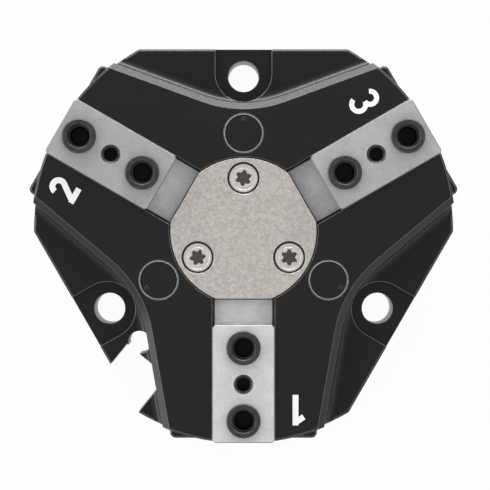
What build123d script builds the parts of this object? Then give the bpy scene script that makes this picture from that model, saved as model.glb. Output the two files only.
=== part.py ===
"""Pneumatic three jaw centric gripper with a wedge-hook drive.

Millimetres. The origin is the centre of the back mounting face, +Z points to the jaws.
Jaw 1 lies along -Y, and the mounting holes sit in the corners between the jaws.
The gripper is drawn open: the piston is at the top of its bore and the jaws are fully out.
"""
from build123d import *
from math import cos, hypot, radians, sin, tan
import os

# Directions about Z, in degrees
JAWS = 3
FIRST_JAW = 30.0
JAW_STEP = 360.0 / JAWS
FIRST_CORNER = FIRST_JAW + JAW_STEP / 2
JAW_DIRECTIONS = {1: 270.0, 2: 150.0, 3: 30.0}
NOTCH_ANGLE = 231.0

# Clearances
SLIDE_GAP = 0.1
SEAL_GAP = 0.05
SIDE_GAP = 0.3
STOP_GAP = 0.1
PRESS_GAP = 0.02
SCREW_GAP = 0.4
CUSHION_GAP = 0.3
HEAD_GAP = 0.5

# Stroke: the jaws move in by JAW_STROKE while the piston drops by PISTON_STROKE
JAW_STROKE = 8.0
PISTON_STROKE = 12.0
SLOPE = JAW_STROKE / PISTON_STROKE
SLOPE_LENGTH = hypot(SLOPE, 1.0)

# Heights that stack up from the back face to the top of the housing
BASE_T = 12.0
PISTON_H = 13.4
PARTITION_T = 7.2
HOOK_H = 14.5
HOOK_COVER_GAP = 1.0
PLATE_T = 5.0
BORE_TOP = BASE_T + PISTON_STROKE + PISTON_H + 2 * CUSHION_GAP
PARTITION_TOP = BORE_TOP + PARTITION_T
HOOK_BOTTOM = PARTITION_TOP + PISTON_STROKE + CUSHION_GAP
HOOK_TOP = HOOK_BOTTOM + HOOK_H
PLATE_BOTTOM = HOOK_TOP + HOOK_COVER_GAP
HOUSING_TOP = PLATE_BOTTOM + PLATE_T

# Guides of the jaws; their floor is the joint between the housing and the guide blocks
GUIDE_LIP = 13.0
FLANGE_T = 9.0
FLANGE_HALF_W = 17.0
FLANGE_SETBACK = 2.2
FLANGE_TOP = HOUSING_TOP - GUIDE_LIP
FLANGE_BOTTOM = FLANGE_TOP - FLANGE_T
GUIDE_FLOOR = FLANGE_BOTTOM - SLIDE_GAP

# Outline of the housing, and the walls of the open corners between the arms
BODY_R = 74.5
CORNER_FLAT = 64.6
WALL_FOOT_R = 3.4
WALL_TOP_CHAMFER = 2.2
WAIST_R = 40.0
WAIST_HALF_ANGLE = 20.0
EDGE_CHAMFER = 0.6
CORNER_TOP = GUIDE_FLOOR - WALL_FOOT_R

# Back cover
LOBE_PROUD = 0.5
LOBE_HALF_W = 26.6
LOBE_CORNER_R = 2.0
LOBE_REACH = BODY_R + LOBE_PROUD

# Mounting holes and the pockets that their heads sit in
MOUNT_EDGE = 9.6
MOUNT_HOLE_R = 5.5
SEAT_R = 10.1
SEAT_SHIFT = 1.0
SEAT_DEPTH = 4.0
MOUNT_PLACE = CORNER_FLAT - MOUNT_EDGE
SEAT_LEVEL = CORNER_TOP - SEAT_DEPTH

# Dowel holes of the back face
DOWEL_R = 4.0
DOWEL_DEPTH = 9.0
DOWEL_PCD = 110.0

# Jaw
BLOCK_HALF_W = 10.9
BLOCK_IN = 33.0
BLOCK_SETBACK = 0.3
BLOCK_PROUD = 4.0
BLOCK_CORNER = 0.9
BLOCK_EDGE = 0.3
STEP_HALF_W = 10.1
STEP_DROP = 5.3
LEG_LIFT = 1.3
LEG_OUT = 45.0
NOSE_IN = 14.5
BLOCK_OUT = BODY_R - BLOCK_SETBACK
BLOCK_TOP = HOUSING_TOP + BLOCK_PROUD
STEP_TOP = HOUSING_TOP - STEP_DROP
FLANGE_OUT = BLOCK_OUT - FLANGE_SETBACK
LEG_BOTTOM = PARTITION_TOP + LEG_LIFT

# Holes on top of a jaw
SLEEVE_PLACES = (41.0, 66.5)
SLEEVE_R = 6.0
SLEEVE_BORE_R = 4.1
SLEEVE_DEPTH = 5.5
SLEEVE_PROUD = 2.5
SLEEVE_EDGE = 0.4
M8_CORE_R = 3.4
M8_DEPTH = 20.0
M6_PLACE = 53.7
M6_CORE_R = 2.5
M6_MOUTH_R = 3.44
M6_DEPTH = 14.0

# Inclined T rails between wedge hook and jaw, measured square to the slope
RAIL_NECK_HALF = 3.5
RAIL_HEAD_HALF = 6.5
RAIL_NECK = 3.5
RAIL_HEAD = 3.5

# Wedge hook
HOOK_HUB_R = 11.8
WING_HALF_W = 9.5
HOOK_WEB = 4.0
HOOK_SCREW_R = 5.0
HOOK_SCREW_HEAD_R = 8.0
HOOK_SCREW_HEAD = 9.6
HOOK_SCREW_LENGTH = 21.5
HOOK_SCREW_HEX = 8.0
HOOK_PIN_R = 2.0
HOOK_PIN_PLACE = 13.2
HOOK_PIN_LENGTH = 12.0
HOOK_SEAT = HOOK_BOTTOM + HOOK_WEB

# Cylinder, piston and rod
BORE_R = 26.0
ROD_R = 17.0
WELL_MARGIN = 0.5
BUMPER_MARGIN = 2.5
BUMPER_W = 3.0
BUMPER_SEAT = 2.0
PISTON_BOSS = 2.5
PISTON_RING_LAND = 0.9
SEAL_GROOVE = 3.2
SEAL_GROOVE_DEPTH = 3.4
MAGNET_H = 2.4
MAGNET_DEPTH = 2.6
ROD_SEAL_W = 3.0
ROD_SEAL_H = 3.4
ROD_SEAL_LIFT = 2.8
FACE_SEAL_MARGIN = 2.0
FACE_SEAL_SECTION = 1.0
WELL_R = ROD_R + WELL_MARGIN
BUMPER_IN = ROD_R + BUMPER_MARGIN
BUMPER_OUT = BUMPER_IN + BUMPER_W
PISTON_BOSS_R = BUMPER_OUT - HEAD_GAP
ROD_SEAL_R = ROD_R + ROD_SEAL_W
ROD_SEAL_BOTTOM = BORE_TOP + ROD_SEAL_LIFT
FACE_SEAL_R = BORE_R + FACE_SEAL_MARGIN
PISTON_TOP = BORE_TOP - CUSHION_GAP
PISTON_BOTTOM = PISTON_TOP - PISTON_H
DISC_BOTTOM = PISTON_BOTTOM + PISTON_BOSS
DISC_TOP = PISTON_TOP - PISTON_BOSS
SEAL_LEVEL = DISC_BOTTOM + PISTON_RING_LAND
MAGNET_LEVEL = DISC_TOP - PISTON_RING_LAND - MAGNET_H

# Front plate
PLATE_R = 26.0
PLATE_FLAT_CUT = 1.9
PLATE_EDGE = 0.5
PLATE_SCREW_EDGE = 7.45
PLATE_SCREW_R = 3.0
PLATE_SCREW_HEAD_R = 5.5
PLATE_SCREW_LENGTH = 10.0
SINK_R = PLATE_SCREW_HEAD_R + SIDE_GAP
SINK_ANGLE = 90.0
LOBE_SOCKET_R = 2.8
LOBE_SOCKET_LOBE = 0.75
LOBE_SOCKET_DEPTH = 2.2
PLATE_FLAT = PLATE_R - PLATE_FLAT_CUT
PLATE_SCREW_PLACE = PLATE_R - PLATE_SCREW_EDGE

# Tie screws, which clear the plate and the cylinder, and the caps over them
TIE_MARGIN = 8.4
CAP_R = 7.0
CAP_T = 3.0
CAP_FLOOR_GAP = 1.0
TIE_HEAD = 8.0
TIE_R = 4.0
TIE_TIP = 3.0
TIE_HEX = 6.0
WAIST_MARGIN = 3.6
TIE_PLACE = max(PLATE_R, BORE_R) + TIE_MARGIN
TIE_HEAD_R = CAP_R - HEAD_GAP
TIE_HEAD_TOP = HOUSING_TOP - CAP_T - CAP_FLOOR_GAP
WAIST_DEPTH = TIE_PLACE + CAP_R + WAIST_MARGIN

# Back cover screws, put in from behind on both sides of each jaw direction
COVER_SCREW_EDGE = 12.5
COVER_SCREW_ANGLE = 12.0
COVER_SCREW_R = 3.0
COVER_SCREW_HEAD_R = 5.0
COVER_SCREW_HEAD = 6.0
COVER_SCREW_LENGTH = 18.0
COVER_SCREW_HEX = 5.0
COVER_SCREW_PLACE = BODY_R - COVER_SCREW_EDGE

# Air ports in one flat, G1/8
PORT_ANGLE = 330.0
PORT_R = 4.3
PORT_DEPTH = 9.0
PORT_OFFSET = 15.0
PORT_SPOT_R = 7.0
PORT_SPOT = 0.6
CLOSE_PORT_DROP = 3.0
OPEN_PORT_LIFT = 5.6
CHANNEL_R = 1.2
CLOSE_PORT_Z = BORE_TOP - CLOSE_PORT_DROP
OPEN_PORT_Z = BASE_T + OPEN_PORT_LIFT

# Sensor notch, in a frame turned to NOTCH_ANGLE
NOTCH_FLOOR = 57.2
NOTCH_LEFT = -6.95
NOTCH_RIGHT = 11.55
NOTCH_COVER = 0.4
SENSOR_R = 4.1
SENSOR_PLACE = 54.0
SENSOR_SIDE = -3.77
NOTCH_TOP = GUIDE_FLOOR - NOTCH_COVER

BEYOND = 2 * BODY_R


def nose_face(level):
    """Distance of a jaw's inclined inner face from the axis, at a height."""
    return NOSE_IN + (HOOK_TOP - level) * SLOPE


def top_view(angle, level=0.0):
    """Plane at a height, with its x axis along a direction about Z."""
    return Plane.XY.offset(level).rotated((0, 0, angle))


def side_view(angle):
    """Upright plane through the axis: x runs outwards along the direction, y runs up."""
    flat = top_view(angle)
    return Plane(origin=(0, 0, 0), x_dir=flat.x_dir, z_dir=-flat.y_dir)


def end_view(angle, distance=0.0):
    """Upright plane across a direction: x runs sideways, y runs up, the normal outwards."""
    flat = top_view(angle)
    return Plane(origin=flat.x_dir * distance, x_dir=flat.y_dir, z_dir=flat.x_dir)


def slope_view(angle):
    """Plane across a jaw's inclined face: y is square to the face and points into the jaw."""
    flat = top_view(angle)
    along = Vector(0, 0, 1) - flat.x_dir * SLOPE
    foot = flat.x_dir * NOSE_IN + Vector(0, 0, HOOK_TOP)
    return Plane(origin=foot, x_dir=-flat.y_dir, z_dir=along)


def draw_slab(half_width, bottom, top):
    """Rectangle about the sketch's y axis, between two heights."""
    with Locations((0, (bottom + top) / 2)):
        Rectangle(2 * half_width, top - bottom)


def draw_rail(neck_half, head_half, root, neck, tip):
    """T profile of the inclined rails, from its root to its tip."""
    draw_slab(neck_half, root, neck)
    draw_slab(head_half, neck, tip)


def draw_ring(outer, inner):
    """Flat ring about the sketch's origin."""
    Circle(outer)
    Circle(inner, mode=Mode.SUBTRACT)


def draw_body_outline(first_flat=FIRST_CORNER):
    """Turned outline with three flats, the first of them in the direction given."""
    Circle(BODY_R)
    with PolarLocations(CORNER_FLAT + BODY_R / 2, JAWS, start_angle=first_flat):
        Rectangle(BODY_R, 2 * BODY_R, mode=Mode.SUBTRACT)


def on_outline(edge):
    """Whether an edge lies on the turned outline or on one of its flats."""
    middle = edge @ 0.5
    reach = max(middle.dot(Vector(*spot)) for spot in corner_spots(1))
    on_flat = abs(reach - CORNER_FLAT) < PRESS_GAP
    return on_flat or abs(hypot(middle.X, middle.Y) - BODY_R) < PRESS_GAP


def draw_notch():
    """Sensor notch, drawn in the top view that is turned to its direction."""
    with Locations((NOTCH_FLOOR + BODY_R / 2, (NOTCH_LEFT + NOTCH_RIGHT) / 2)):
        Rectangle(BODY_R, NOTCH_RIGHT - NOTCH_LEFT)
    with Locations((SENSOR_PLACE, SENSOR_SIDE)):
        Circle(SENSOR_R)


def corner_spots(place, level=0.0):
    """Points at one distance from the axis in the corner directions, at a height."""
    angles = [radians(FIRST_CORNER + JAW_STEP * turn) for turn in range(JAWS)]
    return [(place * cos(angle), place * sin(angle), level) for angle in angles]


def cover_screw_spots(level=0.0):
    """Points of the back cover's screws, at a height."""
    spots = []
    for direction in JAW_DIRECTIONS.values():
        for side in (-COVER_SCREW_ANGLE, COVER_SCREW_ANGLE):
            angle = radians(direction + side)
            spots.append((COVER_SCREW_PLACE * cos(angle), COVER_SCREW_PLACE * sin(angle), level))
    return spots


# Cutter for the open space between two arms, drawn along +X
with BuildPart() as corner_space:
    with BuildSketch(Plane.XY.offset(CORNER_TOP)):
        with BuildLine():
            middle = (WAIST_DEPTH + WAIST_R, 0)
            waist = CenterArc(middle, WAIST_R, 180 - WAIST_HALF_ANGLE, 2 * WAIST_HALF_ANGLE)
            left = PolarLine(waist @ 0, BODY_R, 90 - WAIST_HALF_ANGLE)
            right = PolarLine(waist @ 1, BODY_R, WAIST_HALF_ANGLE - 90)
            Polyline(left @ 1, (BEYOND, (left @ 1).Y), (BEYOND, (right @ 1).Y), right @ 1)
        make_face()
    extrude(amount=HOUSING_TOP)
    fillet(corner_space.edges().group_by(Axis.Z)[0].sort_by(Axis.X)[0:3], WALL_FOOT_R)

# Cutter for the small chamfer along the outer edge of that space's floor, drawn along +X
with BuildPart() as corner_rim:
    extrude(corner_space.faces().sort_by(Axis.Z)[0], amount=EDGE_CHAMFER)
    with BuildSketch(Plane.XY.offset(CORNER_TOP - EDGE_CHAMFER)):
        draw_body_outline(first_flat=0)
    extrude(amount=EDGE_CHAMFER, taper=45, mode=Mode.SUBTRACT)

# Housing and guide blocks are machined as one body, then parted at the floor of the guides
with BuildPart() as body:
    with BuildSketch(Plane.XY.offset(BASE_T)):
        draw_body_outline()
    extrude(amount=HOUSING_TOP - BASE_T)
    with PolarLocations(0, JAWS, start_angle=FIRST_CORNER):
        add(corner_space.part, mode=Mode.SUBTRACT)
        add(corner_rim.part, mode=Mode.SUBTRACT)
    top = body.edges().filter_by_position(Axis.Z, HOUSING_TOP, HOUSING_TOP)
    chamfer(top.filter_by(lambda edge: not on_outline(edge)), WALL_TOP_CHAMFER)
    for level in (HOUSING_TOP, BASE_T):
        rim = body.edges().filter_by_position(Axis.Z, level, level)
        chamfer(rim.filter_by(on_outline), EDGE_CHAMFER)

    # Seats of the mounting screws, open to the flat
    with BuildSketch(Plane.XY.offset(SEAT_LEVEL)):
        with PolarLocations(MOUNT_PLACE + SEAT_SHIFT, JAWS, start_angle=FIRST_CORNER):
            Circle(SEAT_R)
            with Locations((SEAT_R, 0)):
                Rectangle(2 * SEAT_R, 2 * SEAT_R)
    extrude(amount=CORNER_TOP - SEAT_LEVEL + WALL_FOOT_R, mode=Mode.SUBTRACT)
    with Locations(*corner_spots(MOUNT_PLACE, HOUSING_TOP)):
        Hole(MOUNT_HOLE_R, depth=HOUSING_TOP)

    # Guides of the jaws: block slot, flange slot and the shorter slot of the leg
    for direction in JAW_DIRECTIONS.values():
        with BuildSketch(end_view(direction)):
            draw_slab(BLOCK_HALF_W + SLIDE_GAP, FLANGE_TOP, BEYOND)
            draw_slab(FLANGE_HALF_W + SLIDE_GAP, GUIDE_FLOOR, FLANGE_TOP + SLIDE_GAP)
        extrude(amount=BEYOND, mode=Mode.SUBTRACT)
        with BuildSketch(end_view(direction)):
            draw_slab(STEP_HALF_W + SIDE_GAP, PARTITION_TOP, FLANGE_BOTTOM)
        extrude(amount=LEG_OUT + SIDE_GAP, mode=Mode.SUBTRACT)

    # Cylinder, bore of the rod with its seal groove, and the well that the rod rises into
    with BuildSketch(Plane.XY.offset(BASE_T)):
        Circle(BORE_R)
    extrude(amount=BORE_TOP - BASE_T, mode=Mode.SUBTRACT)
    with BuildSketch(Plane.XY.offset(BORE_TOP)):
        Circle(ROD_R + SLIDE_GAP)
    extrude(amount=PARTITION_TOP - BORE_TOP, mode=Mode.SUBTRACT)
    with BuildSketch(Plane.XY.offset(PARTITION_TOP)):
        Circle(WELL_R)
    extrude(amount=FLANGE_BOTTOM - PARTITION_TOP, mode=Mode.SUBTRACT)
    with BuildSketch(Plane.XY.offset(ROD_SEAL_BOTTOM)):
        Circle(ROD_SEAL_R)
    extrude(amount=ROD_SEAL_H, mode=Mode.SUBTRACT)
    with BuildSketch(Plane.XY.offset(BORE_TOP)):
        draw_ring(BUMPER_OUT, BUMPER_IN)
    extrude(amount=BUMPER_SEAT, mode=Mode.SUBTRACT)

    # Recess of the front plate, its threaded holes, and the deep seats of the tie screws
    with BuildSketch(Plane.XY.offset(PLATE_BOTTOM)):
        Circle(PLATE_R + SLIDE_GAP)
    extrude(amount=PLATE_T, mode=Mode.SUBTRACT)
    with Locations(*corner_spots(PLATE_SCREW_PLACE, PLATE_BOTTOM)):
        Hole(PLATE_SCREW_R, depth=PLATE_SCREW_LENGTH - PLATE_T + SIDE_GAP)
    with Locations(*corner_spots(TIE_PLACE, HOUSING_TOP)):
        CounterBoreHole(TIE_R + SCREW_GAP, CAP_R, HOUSING_TOP - TIE_HEAD_TOP + TIE_HEAD, HOUSING_TOP)
    with Locations(Plane.XY.offset(BASE_T).rotated((180, 0, 0))):
        with Locations(*[(x, -y, 0) for x, y, z in cover_screw_spots()]):
            Hole(COVER_SCREW_R, depth=COVER_SCREW_LENGTH + COVER_SCREW_HEAD - BASE_T + 2 * SIDE_GAP)

    # Air ports with their spot faces, and the channels that join them to the cylinder's ends
    ports = ((-PORT_OFFSET, OPEN_PORT_Z, DISC_BOTTOM - PISTON_STROKE - PISTON_BOSS / 2),
             (PORT_OFFSET, CLOSE_PORT_Z, BORE_TOP - PISTON_BOSS / 2))
    for side, level, channel_level in ports:
        with BuildSketch(end_view(PORT_ANGLE, CORNER_FLAT - PORT_SPOT)):
            with Locations((side, level)):
                Circle(PORT_SPOT_R)
        extrude(amount=PORT_SPOT, mode=Mode.SUBTRACT)
        with BuildSketch(end_view(PORT_ANGLE, CORNER_FLAT - PORT_DEPTH)):
            with Locations((side, level)):
                Circle(PORT_R)
        extrude(amount=PORT_DEPTH, mode=Mode.SUBTRACT)
        with BuildSketch(end_view(PORT_ANGLE, BORE_R / 2)):
            with Locations((side, channel_level)):
                Circle(CHANNEL_R)
        extrude(amount=CORNER_FLAT - PORT_DEPTH - BORE_R / 2, mode=Mode.SUBTRACT)

    # Notch for the position sensor's body and cable
    with BuildSketch(top_view(NOTCH_ANGLE)):
        draw_notch()
    extrude(amount=NOTCH_TOP, mode=Mode.SUBTRACT)

with BuildPart() as housing:
    add(body.part)
    split(bisect_by=Plane.XY.offset(GUIDE_FLOOR), keep=Keep.BOTTOM)

with BuildPart() as guide_blocks:
    add(body.part)
    split(bisect_by=Plane.XY.offset(GUIDE_FLOOR), keep=Keep.TOP)

with BuildPart() as base_cover:
    with BuildSketch() as base_outline:
        draw_body_outline()
        with PolarLocations(LOBE_REACH / 2, JAWS, start_angle=FIRST_JAW):
            Rectangle(LOBE_REACH, 2 * LOBE_HALF_W)
        corners = base_outline.vertices()
        fillet(corners.filter_by(lambda spot: hypot(spot.X, spot.Y) > LOBE_REACH), LOBE_CORNER_R)
    extrude(amount=BASE_T)
    rims = base_cover.edges().group_by(Axis.Z)
    chamfer(rims[0] + rims[-1], EDGE_CHAMFER)
    with BuildSketch(Plane.XY.offset(BASE_T)):
        draw_ring(FACE_SEAL_R + FACE_SEAL_SECTION, FACE_SEAL_R - FACE_SEAL_SECTION)
    extrude(amount=-2 * FACE_SEAL_SECTION, mode=Mode.SUBTRACT)
    with BuildSketch(Plane.XY.offset(BASE_T)):
        draw_ring(BUMPER_OUT, BUMPER_IN)
    extrude(amount=-BUMPER_SEAT, mode=Mode.SUBTRACT)
    with Locations(*corner_spots(MOUNT_PLACE, BASE_T)):
        Hole(MOUNT_HOLE_R, depth=BASE_T)
    with Locations(*corner_spots(TIE_PLACE, BASE_T)):
        Hole(TIE_R, depth=BASE_T - TIE_TIP + SIDE_GAP)
    with Locations(Plane.XY.rotated((180, 0, 0))):
        with Locations(*[(x, -y, 0) for x, y, z in cover_screw_spots()]):
            CounterBoreHole(COVER_SCREW_R + SCREW_GAP, COVER_SCREW_HEAD_R + SCREW_GAP,
                            COVER_SCREW_HEAD + SIDE_GAP, BASE_T)
        with PolarLocations(DOWEL_PCD / 2, 2, start_angle=-30, angular_range=-240):
            Hole(DOWEL_R, depth=DOWEL_DEPTH)
    with BuildSketch(top_view(NOTCH_ANGLE)):
        draw_notch()
    extrude(amount=BASE_T, mode=Mode.SUBTRACT)

with BuildPart() as base_cover_seal:
    with BuildSketch(Plane.XY.offset(BASE_T)):
        draw_ring(FACE_SEAL_R + FACE_SEAL_SECTION, FACE_SEAL_R - FACE_SEAL_SECTION)
    extrude(amount=-2 * FACE_SEAL_SECTION)

with BuildPart() as lower_bumper:
    with BuildSketch(Plane.XY.offset(BASE_T - BUMPER_SEAT)):
        draw_ring(BUMPER_OUT, BUMPER_IN)
    extrude(amount=BUMPER_SEAT + CUSHION_GAP - STOP_GAP)

with BuildPart() as upper_bumper:
    with BuildSketch(Plane.XY.offset(BORE_TOP - CUSHION_GAP + STOP_GAP)):
        draw_ring(BUMPER_OUT, BUMPER_IN)
    extrude(amount=BUMPER_SEAT + CUSHION_GAP - STOP_GAP)

with BuildPart() as rod_seal:
    with BuildSketch(Plane.XY.offset(ROD_SEAL_BOTTOM)):
        draw_ring(ROD_SEAL_R, ROD_R + SEAL_GAP)
    extrude(amount=ROD_SEAL_H)


def make_screw(spots, head_r, head, shank_r, length, hexagon, flip=False):
    """Group of socket head screws: the spots are the undersides of their heads."""
    up = -1 if flip else 1
    with BuildPart() as screws:
        for x, y, z in spots:
            with BuildSketch(Plane(origin=(x, y, z), z_dir=(0, 0, up))):
                Circle(head_r)
            extrude(amount=head)
            with BuildSketch(Plane(origin=(x, y, z), z_dir=(0, 0, up))):
                Circle(shank_r)
            extrude(amount=-length)
            with BuildSketch(Plane(origin=(x, y, z + up * head), z_dir=(0, 0, up))):
                RegularPolygon(hexagon / 2, 6, major_radius=False)
            extrude(amount=-head / 2, mode=Mode.SUBTRACT)
    return screws


tie_screws = make_screw(corner_spots(TIE_PLACE, TIE_HEAD_TOP - TIE_HEAD), TIE_HEAD_R, TIE_HEAD, TIE_R,
                        TIE_HEAD_TOP - TIE_HEAD - TIE_TIP, TIE_HEX)
base_cover_screws = make_screw(cover_screw_spots(COVER_SCREW_HEAD + SIDE_GAP), COVER_SCREW_HEAD_R,
                               COVER_SCREW_HEAD, COVER_SCREW_R, COVER_SCREW_LENGTH, COVER_SCREW_HEX,
                               flip=True)
hook_screw = make_screw([(0, 0, HOOK_SEAT)], HOOK_SCREW_HEAD_R, HOOK_SCREW_HEAD, HOOK_SCREW_R,
                        HOOK_SCREW_LENGTH, HOOK_SCREW_HEX)

with BuildPart() as tie_screw_caps:
    with BuildSketch(Plane.XY.offset(HOUSING_TOP - CAP_T)):
        with PolarLocations(TIE_PLACE, JAWS, start_angle=FIRST_CORNER):
            Circle(CAP_R - PRESS_GAP)
    extrude(amount=CAP_T)

with BuildPart() as front_plate:
    with BuildSketch(Plane.XY.offset(PLATE_BOTTOM)):
        Circle(PLATE_R)
        with PolarLocations(PLATE_FLAT + PLATE_R / 2, JAWS, start_angle=FIRST_JAW):
            Rectangle(PLATE_R, 2 * PLATE_R, mode=Mode.SUBTRACT)
    extrude(amount=PLATE_T)
    chamfer(front_plate.faces().sort_by(Axis.Z)[-1].edges(), PLATE_EDGE)
    with Locations(*corner_spots(PLATE_SCREW_PLACE, HOUSING_TOP)):
        CounterSinkHole(PLATE_SCREW_R + SCREW_GAP, SINK_R, PLATE_T, SINK_ANGLE)

with BuildPart() as front_plate_screws:
    for x, y, z in corner_spots(PLATE_SCREW_PLACE, HOUSING_TOP):
        sink = (SINK_R - PLATE_SCREW_HEAD_R) / tan(radians(SINK_ANGLE / 2))
        cone = (PLATE_SCREW_HEAD_R - PLATE_SCREW_R) / tan(radians(SINK_ANGLE / 2))
        with BuildSketch(Plane(origin=(x, y, z - sink), z_dir=(0, 0, -1))):
            Circle(PLATE_SCREW_HEAD_R)
        extrude(amount=cone, taper=SINK_ANGLE / 2)
        with BuildSketch(Plane(origin=(x, y, z - sink), z_dir=(0, 0, -1))):
            Circle(PLATE_SCREW_R)
        extrude(amount=PLATE_SCREW_LENGTH)
        with BuildSketch(Plane(origin=(x, y, z - sink), z_dir=(0, 0, -1))):
            Circle(LOBE_SOCKET_R - LOBE_SOCKET_LOBE)
            with PolarLocations(LOBE_SOCKET_R - LOBE_SOCKET_LOBE, 6):
                Circle(LOBE_SOCKET_LOBE)
        extrude(amount=LOBE_SOCKET_DEPTH, mode=Mode.SUBTRACT)

with BuildPart() as piston:
    with BuildSketch(Plane.XY.offset(PISTON_BOTTOM)):
        Circle(PISTON_BOSS_R)
    extrude(amount=PISTON_TOP - PISTON_BOTTOM)
    with BuildSketch(Plane.XY.offset(DISC_BOTTOM)):
        Circle(BORE_R - SLIDE_GAP)
    extrude(amount=DISC_TOP - DISC_BOTTOM)
    with BuildSketch(Plane.XY.offset(PISTON_TOP)):
        Circle(ROD_R)
    extrude(amount=HOOK_BOTTOM - PISTON_TOP)
    with BuildSketch(Plane.XY.offset(SEAL_LEVEL)):
        draw_ring(BORE_R, BORE_R - SEAL_GROOVE_DEPTH)
    extrude(amount=SEAL_GROOVE, mode=Mode.SUBTRACT)
    with BuildSketch(Plane.XY.offset(MAGNET_LEVEL)):
        draw_ring(BORE_R, BORE_R - MAGNET_DEPTH)
    extrude(amount=MAGNET_H, mode=Mode.SUBTRACT)
    with Locations((0, 0, HOOK_BOTTOM)):
        Hole(HOOK_SCREW_R, depth=HOOK_SCREW_LENGTH - HOOK_WEB + SIDE_GAP)
    with BuildSketch(top_view(JAW_DIRECTIONS[1], HOOK_BOTTOM)):
        with Locations((HOOK_PIN_PLACE, 0)):
            Circle(HOOK_PIN_R)
    extrude(amount=-HOOK_PIN_LENGTH / 2, mode=Mode.SUBTRACT)

with BuildPart() as piston_seal:
    with BuildSketch(Plane.XY.offset(SEAL_LEVEL)):
        draw_ring(BORE_R - SEAL_GAP, BORE_R - SEAL_GROOVE_DEPTH)
    extrude(amount=SEAL_GROOVE)

with BuildPart() as piston_magnet:
    with BuildSketch(Plane.XY.offset(MAGNET_LEVEL)):
        draw_ring(BORE_R - SLIDE_GAP - SIDE_GAP, BORE_R - MAGNET_DEPTH)
    extrude(amount=MAGNET_H)

with BuildPart() as wedge_hook:
    with BuildSketch(Plane.XY.offset(HOOK_BOTTOM)):
        Circle(HOOK_HUB_R)
    extrude(amount=HOOK_TOP - HOOK_BOTTOM)
    gap_along = SLIDE_GAP * SLOPE_LENGTH
    for direction in JAW_DIRECTIONS.values():
        with BuildSketch(side_view(direction)):
            Polygon((0, HOOK_BOTTOM), (nose_face(HOOK_BOTTOM) - gap_along, HOOK_BOTTOM),
                    (nose_face(HOOK_TOP) - gap_along, HOOK_TOP), (0, HOOK_TOP), align=None)
        extrude(amount=WING_HALF_W, both=True)
        with BuildSketch(slope_view(direction)):
            draw_rail(RAIL_NECK_HALF, RAIL_HEAD_HALF, -RAIL_NECK, RAIL_NECK, RAIL_NECK + RAIL_HEAD)
        extrude(amount=HOOK_TOP, both=True)
    with BuildSketch(Plane.XY.offset(HOOK_BOTTOM)):
        Circle(BODY_R)
    extrude(amount=HOOK_TOP - HOOK_BOTTOM, mode=Mode.INTERSECT)
    with Locations((0, 0, HOOK_TOP)):
        CounterBoreHole(HOOK_SCREW_R + SCREW_GAP, HOOK_SCREW_HEAD_R + SCREW_GAP,
                        HOOK_TOP - HOOK_SEAT, HOOK_TOP)
    with BuildSketch(top_view(JAW_DIRECTIONS[1], HOOK_BOTTOM)):
        with Locations((HOOK_PIN_PLACE, 0)):
            Circle(HOOK_PIN_R)
    extrude(amount=HOOK_PIN_LENGTH / 2, mode=Mode.SUBTRACT)

with BuildPart() as hook_pin:
    with BuildSketch(top_view(JAW_DIRECTIONS[1], HOOK_BOTTOM - HOOK_PIN_LENGTH / 2)):
        with Locations((HOOK_PIN_PLACE, 0)):
            Circle(HOOK_PIN_R)
    extrude(amount=HOOK_PIN_LENGTH)


def make_jaw(direction):
    """Base jaw: raised block, guide flange, and a leg that the inclined T slot runs through."""
    with BuildPart() as jaw:
        with BuildSketch(top_view(direction, FLANGE_TOP)):
            with Locations(((BLOCK_IN + BLOCK_OUT) / 2, 0)):
                Rectangle(BLOCK_OUT - BLOCK_IN, 2 * BLOCK_HALF_W)
        extrude(amount=BLOCK_TOP - FLANGE_TOP)
        uprights = jaw.edges().filter_by(Axis.Z)
        chamfer(uprights, BLOCK_CORNER)
        chamfer(jaw.faces().sort_by(Axis.Z)[-1].edges(), BLOCK_EDGE)
        with BuildSketch(side_view(direction)):
            Polygon((nose_face(FLANGE_BOTTOM), FLANGE_BOTTOM), (FLANGE_OUT, FLANGE_BOTTOM),
                    (FLANGE_OUT, FLANGE_TOP), (nose_face(FLANGE_TOP), FLANGE_TOP), align=None)
        extrude(amount=FLANGE_HALF_W, both=True)
        with BuildSketch(side_view(direction)):
            Polygon((nose_face(LEG_BOTTOM), LEG_BOTTOM), (LEG_OUT, LEG_BOTTOM),
                    (LEG_OUT, STEP_TOP), (nose_face(STEP_TOP), STEP_TOP), align=None)
        extrude(amount=STEP_HALF_W, both=True)
        with BuildSketch(slope_view(direction)):
            draw_rail(RAIL_NECK_HALF + SLIDE_GAP, RAIL_HEAD_HALF + SLIDE_GAP, -RAIL_NECK,
                      RAIL_NECK - SLIDE_GAP, RAIL_NECK + RAIL_HEAD + SLIDE_GAP)
        extrude(amount=BLOCK_TOP, both=True, mode=Mode.SUBTRACT)
        with BuildSketch(top_view(direction, BLOCK_TOP)):
            for place in SLEEVE_PLACES:
                with Locations((place, 0)):
                    Circle(SLEEVE_R + PRESS_GAP)
        extrude(amount=-SLEEVE_DEPTH, mode=Mode.SUBTRACT)
        with BuildSketch(top_view(direction, BLOCK_TOP)):
            for place in SLEEVE_PLACES:
                with Locations((place, 0)):
                    Circle(M8_CORE_R)
        extrude(amount=-M8_DEPTH, mode=Mode.SUBTRACT)
        with BuildSketch(top_view(direction, BLOCK_TOP)):
            with Locations((M6_PLACE, 0)):
                Circle(M6_CORE_R)
        extrude(amount=-M6_DEPTH, mode=Mode.SUBTRACT)
        mouths = jaw.edges().filter_by(GeomType.CIRCLE).filter_by_position(Axis.Z, BLOCK_TOP, BLOCK_TOP)
        chamfer(mouths.sort_by(SortBy.RADIUS)[0], M6_MOUTH_R - M6_CORE_R)
    return jaw


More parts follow.
